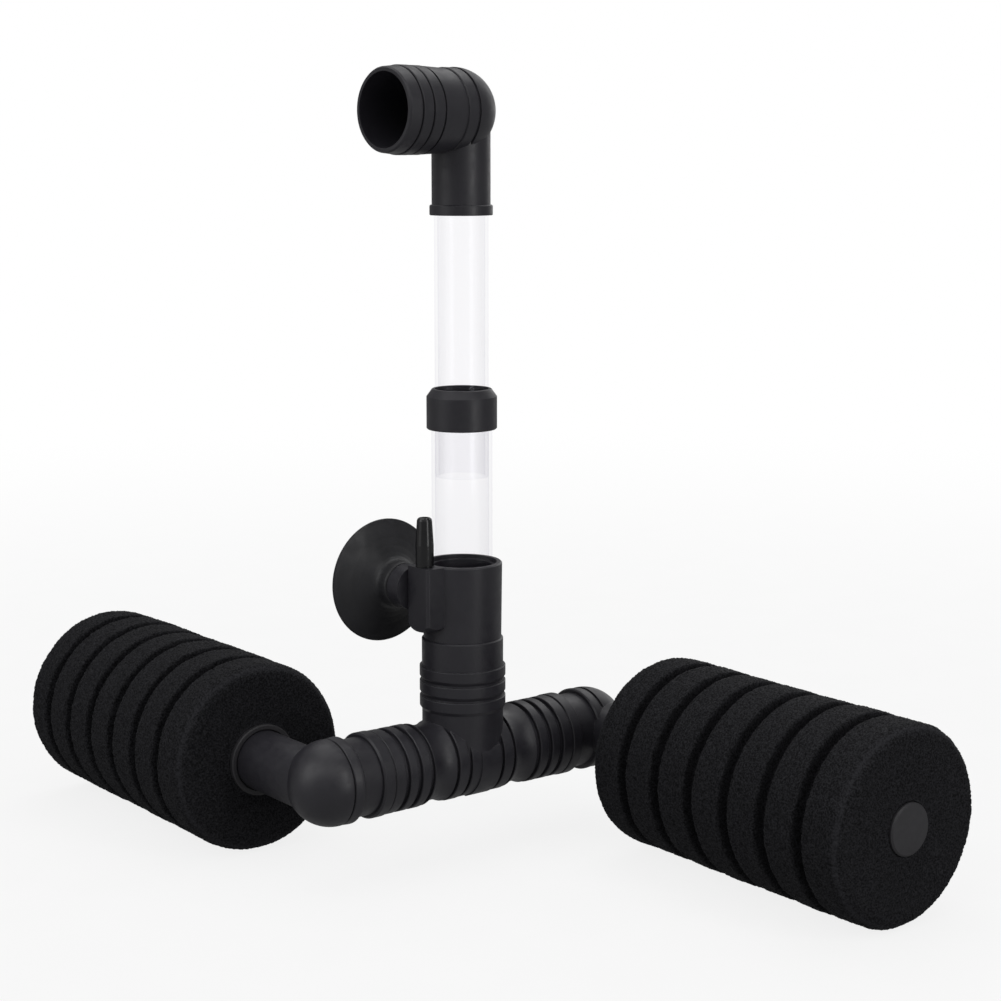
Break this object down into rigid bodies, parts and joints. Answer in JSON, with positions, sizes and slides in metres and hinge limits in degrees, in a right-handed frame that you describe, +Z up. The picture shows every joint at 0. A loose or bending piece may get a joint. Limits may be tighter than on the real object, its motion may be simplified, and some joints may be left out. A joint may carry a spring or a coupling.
{
  "type": "sponge filter",
  "caption": "Air-lift aquarium filter: grooved foam cylinders on swivelling elbows of a low tee, with a telescopic clear riser, turning outlet elbow, air nozzle and suction cup.",
  "frame": {"origin": "on the floor under the riser's axis, midway between the two sponges", "axes": "+Z up along the riser, X along the tee's barrel with the air nozzle on -X, Y along the sponges with the left sponge and the suction cup on +Y"},
  "size_m": [0.1598, 0.2632, 0.2323],
  "materials": {
    "black_plastic": "satin moulded black, soft broad highlights",
    "core_plastic": "satin moulded black",
    "nozzle_plastic": "glossy moulded black",
    "foam": "open-cell black foam",
    "cup_rubber": "smooth black rubber",
    "clear_tube": "clear, polished"
  },
  "bodies": {
    "tee": {"tee": "black_plastic"},
    "left_elbow": {"left_elbow": "black_plastic"},
    "right_elbow": {"right_elbow": "black_plastic"},
    "left_core": {"left_core_tube": "core_plastic", "left_end_cap": "core_plastic"},
    "right_core": {"right_core_tube": "core_plastic", "right_end_cap": "core_plastic"},
    "left_sponge": {"left_sponge": "foam"},
    "right_sponge": {"right_sponge": "foam"},
    "riser": {"air_inlet_body": "black_plastic", "bubble_sleeve": "core_plastic", "air_nozzle": "nozzle_plastic", "lower_riser_tube": "clear_tube", "slip_collar": "black_plastic", "grip_ring": "cup_rubber"},
    "suction_cup": {"suction_cup": "cup_rubber"},
    "upper_tube": {"upper_riser_tube": "clear_tube"},
    "outlet": {"outlet_elbow": "black_plastic"}
  },
  "joints": [
    {"name": "left_elbow_swivel", "type": "hinge", "parent": "tee", "child": "left_elbow", "pos_m": [-0.0373, 0, 0.02875], "axis": [1, 0, 0], "range_deg": [-215, 35]},
    {"name": "right_elbow_swivel", "type": "hinge", "parent": "tee", "child": "right_elbow", "pos_m": [0.0373, 0, 0.02875], "axis": [-1, 0, 0], "range_deg": [-215, 35]},
    {"name": "left_core_turn", "type": "hinge", "parent": "left_elbow", "child": "left_core", "pos_m": [-0.0512, 0.0326, 0.02875], "axis": [0, 1, 0], "continuous": true},
    {"name": "right_core_turn", "type": "hinge", "parent": "right_elbow", "child": "right_core", "pos_m": [0.0512, -0.0326, 0.02875], "axis": [0, -1, 0], "continuous": true},
    {"name": "left_sponge_pull", "type": "slide", "parent": "left_core", "child": "left_sponge", "axis": [0, 1, 0], "range_m": [0, 0.08]},
    {"name": "right_sponge_pull", "type": "slide", "parent": "right_core", "child": "right_sponge", "axis": [0, -1, 0], "range_m": [0, 0.08]},
    {"name": "riser_swivel", "type": "hinge", "parent": "tee", "child": "riser", "pos_m": [0, 0, 0.06525], "axis": [0, 0, 1], "continuous": true},
    {"name": "cup_turn", "type": "hinge", "parent": "riser", "child": "suction_cup", "pos_m": [-0.0138, 0.0052, 0.08075], "axis": [0, 1, 0], "continuous": true},
    {"name": "riser_extend", "type": "slide", "parent": "riser", "child": "upper_tube", "axis": [0, 0, 1], "range_m": [-0.038, 0.012]},
    {"name": "outlet_swivel", "type": "hinge", "parent": "upper_tube", "child": "outlet", "pos_m": [0, 0, 0.2], "axis": [0, 0, 1], "continuous": true}
  ]
}
